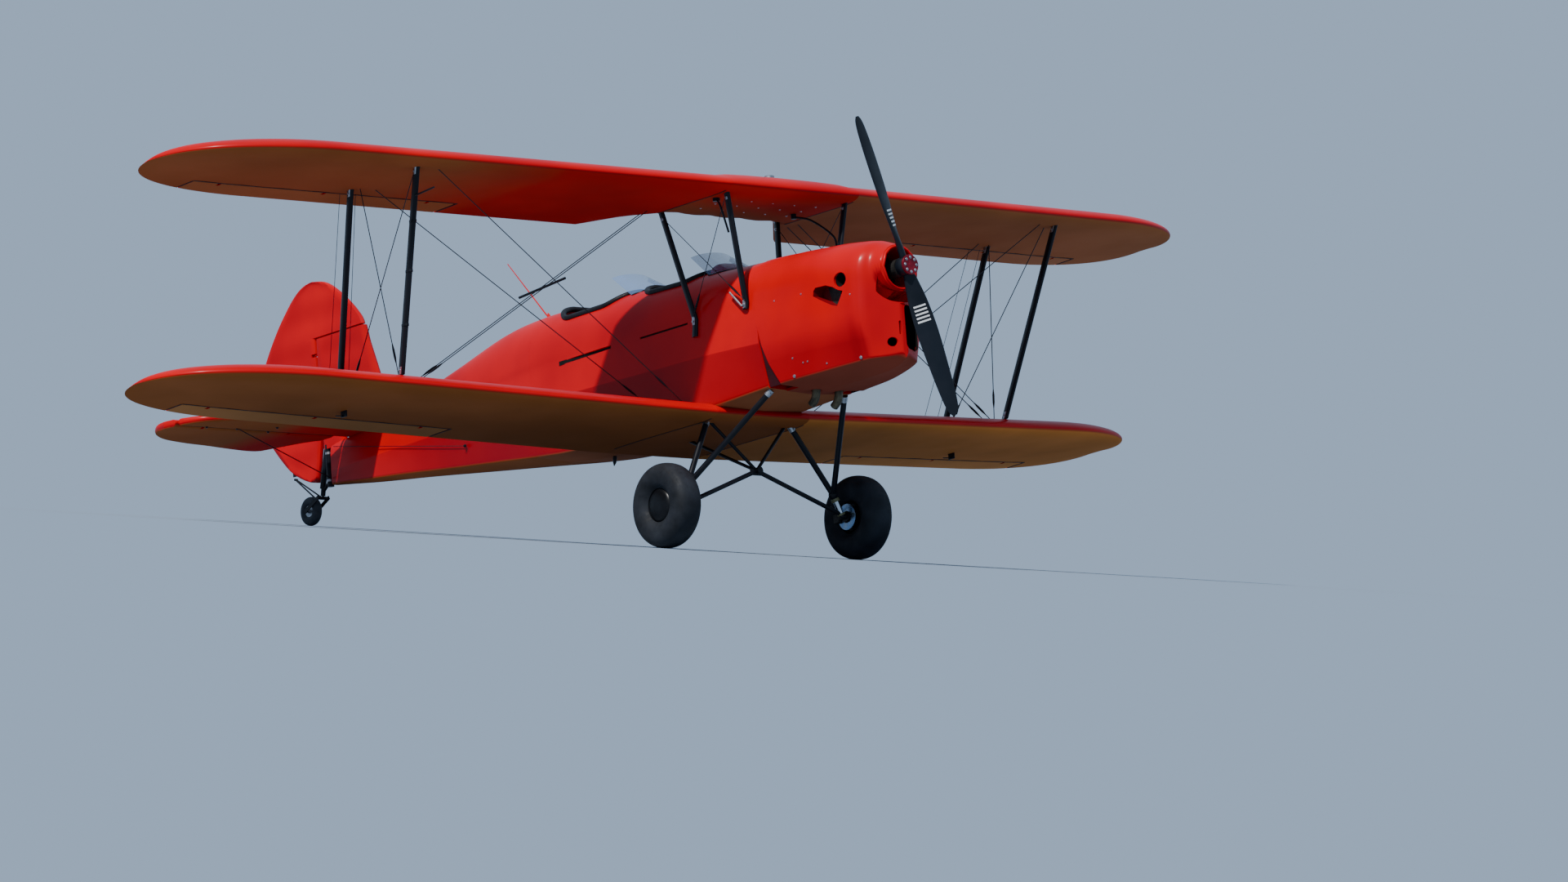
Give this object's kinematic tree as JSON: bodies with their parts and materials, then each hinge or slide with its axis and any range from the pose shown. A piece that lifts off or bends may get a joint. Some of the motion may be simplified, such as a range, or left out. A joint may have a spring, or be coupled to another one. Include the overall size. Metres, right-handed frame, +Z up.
{
  "type": "two-seat open-cockpit sport biplane with fixed tailwheel gear",
  "caption": "Tailwheel biplane with swept wings, struts and wire bracing, open tandem cockpits, hinged controls and a two-blade propeller, parked on its wheels.",
  "frame": {"origin": "on the floor, in the middle of the parked aircraft's footprint box", "axes": "+X to the aircraft's left wing tip, +Y aft, +Z up; the nose points to -Y and is pitched up 12.4 degrees, as it parks"},
  "size_m": [8.3778, 7.0642, 2.8199],
  "materials": {
    "red_enamel": "gloss red enamel over fabric, plywood and sheet",
    "black_tube": "black enamelled steel tube",
    "bracing_wire": "drawn stainless wire",
    "propeller_black": "satin black carbon composite",
    "hub_plate_red": "red anodised turned plate",
    "engine_casting": "dark cast case",
    "tyre_rubber": "matt black rubber",
    "wheel_hub": "machined alloy",
    "seat_leather": "black leather, tufted",
    "panel_black": "matt black",
    "clear_screen": "clear acrylic"
  },
  "bodies": {
    "airframe": {"fuselage_forward": "red_enamel", "fuselage_aft": "red_enamel", "belly_fairing": "red_enamel", "engine_cowl": "red_enamel", "engine_block": "engine_casting", "upper_centre_section": "red_enamel", "upper_wing_left": "red_enamel", "upper_wing_right": "red_enamel", "lower_wing_left": "red_enamel", "lower_wing_right": "red_enamel", "cabane_front_left": "black_tube", "cabane_front_right": "black_tube", "cabane_rear_left": "black_tube", "cabane_rear_right": "black_tube", "interplane_strut_front_left": "black_tube", "interplane_strut_front_right": "black_tube", "interplane_strut_rear_left": "black_tube", "interplane_strut_rear_right": "black_tube", "landing_wires_left": "bracing_wire", "landing_wires_right": "bracing_wire", "flying_wire_front_left": "bracing_wire", "flying_wire_front_right": "bracing_wire", "flying_wire_rear_left": "bracing_wire", "flying_wire_rear_right": "bracing_wire", "stagger_wires_left": "bracing_wire", "stagger_wires_right": "bracing_wire", "gear_leg_left": "black_tube", "gear_leg_right": "black_tube", "gear_vee": "black_tube", "stabiliser": "red_enamel", "fin": "red_enamel", "tail_leg": "black_tube", "seat_front": "seat_leather", "seat_rear": "seat_leather", "instrument_panel_front": "panel_black", "instrument_panel_rear": "panel_black", "control_stick_front": "panel_black", "control_stick_rear": "panel_black", "windscreen_front": "clear_screen", "windscreen_rear": "clear_screen", "radio_antenna": "red_enamel"},
    "propeller": {"propeller_blades": "propeller_black", "propeller_hub_plate": "hub_plate_red"},
    "wheel_left": {"main_tyre_left": "tyre_rubber", "main_hub_left": "wheel_hub"},
    "wheel_right": {"main_tyre_right": "tyre_rubber", "main_hub_right": "wheel_hub"},
    "tail_fork": {"tailwheel_fork": "black_tube"},
    "tail_wheel": {"tailwheel_tyre": "tyre_rubber", "tailwheel_hub": "wheel_hub"},
    "rudder_body": {"rudder": "red_enamel"},
    "elevator_body": {"elevator": "red_enamel"},
    "aileron_upper_left": {"upper_aileron_left": "red_enamel"},
    "aileron_upper_right": {"upper_aileron_right": "red_enamel"},
    "aileron_lower_left": {"lower_aileron_left": "red_enamel"},
    "aileron_lower_right": {"lower_aileron_right": "red_enamel"}
  },
  "joints": [
    {"name": "propeller_spin", "type": "hinge", "parent": "airframe", "child": "propeller", "pos_m": [0, -3.32568, 1.88781], "axis": [0, 0.9766, -0.2151], "continuous": true},
    {"name": "wheel_left_spin", "type": "hinge", "parent": "airframe", "child": "wheel_left", "pos_m": [0.801, -2.04659, 0.275], "axis": [1, 0, 0], "continuous": true},
    {"name": "wheel_right_spin", "type": "hinge", "parent": "airframe", "child": "wheel_right", "pos_m": [-0.801, -2.04659, 0.275], "axis": [1, 0, 0], "continuous": true},
    {"name": "rudder_hinge", "type": "hinge", "parent": "airframe", "child": "rudder_body", "pos_m": [0, 2.826, 0.84036], "axis": [0, 0.2151, 0.9766], "range_deg": [-25, 25]},
    {"name": "tailwheel_steer", "type": "hinge", "parent": "airframe", "child": "tail_fork", "pos_m": [0, 2.71587, 0.23795], "axis": [0, 0, 1], "range_deg": [-25, 25]},
    {"name": "tailwheel_spin", "type": "hinge", "parent": "tail_fork", "child": "tail_wheel", "pos_m": [0, 2.84011, 0.1], "axis": [1, 0, 0], "continuous": true},
    {"name": "elevator_hinge", "type": "hinge", "parent": "airframe", "child": "elevator_body", "pos_m": [0, 2.46216, 0.63889], "axis": [1, 0, 0], "range_deg": [-20, 28]},
    {"name": "aileron_upper_left_hinge", "type": "hinge", "parent": "airframe", "child": "aileron_upper_left", "pos_m": [2.785, -0.82691, 2.15266], "axis": [0.985, 0.1724, 0.0044], "range_deg": [-20, 20]},
    {"name": "aileron_lower_left_hinge", "type": "hinge", "parent": "airframe", "child": "aileron_lower_left", "pos_m": [2.604, -0.63611, 0.72483], "axis": [0.9841, 0.1761, 0.0217], "range_deg": [-20, 20]},
    {"name": "aileron_upper_right_hinge", "type": "hinge", "parent": "airframe", "child": "aileron_upper_right", "pos_m": [-2.785, -0.82691, 2.15266], "axis": [0.985, -0.1724, -0.0044], "range_deg": [-20, 20]},
    {"name": "aileron_lower_right_hinge", "type": "hinge", "parent": "airframe", "child": "aileron_lower_right", "pos_m": [-2.604, -0.63611, 0.72483], "axis": [0.9841, -0.1761, -0.0217], "range_deg": [-20, 20]}
  ],
  "couplings": [
    {"joint": "tailwheel_steer", "follows": "rudder_hinge", "ratio": 1},
    {"joint": "aileron_lower_left_hinge", "follows": "aileron_upper_left_hinge", "ratio": 1},
    {"joint": "aileron_upper_right_hinge", "follows": "aileron_upper_left_hinge", "ratio": -1},
    {"joint": "aileron_lower_right_hinge", "follows": "aileron_upper_left_hinge", "ratio": -1}
  ]
}
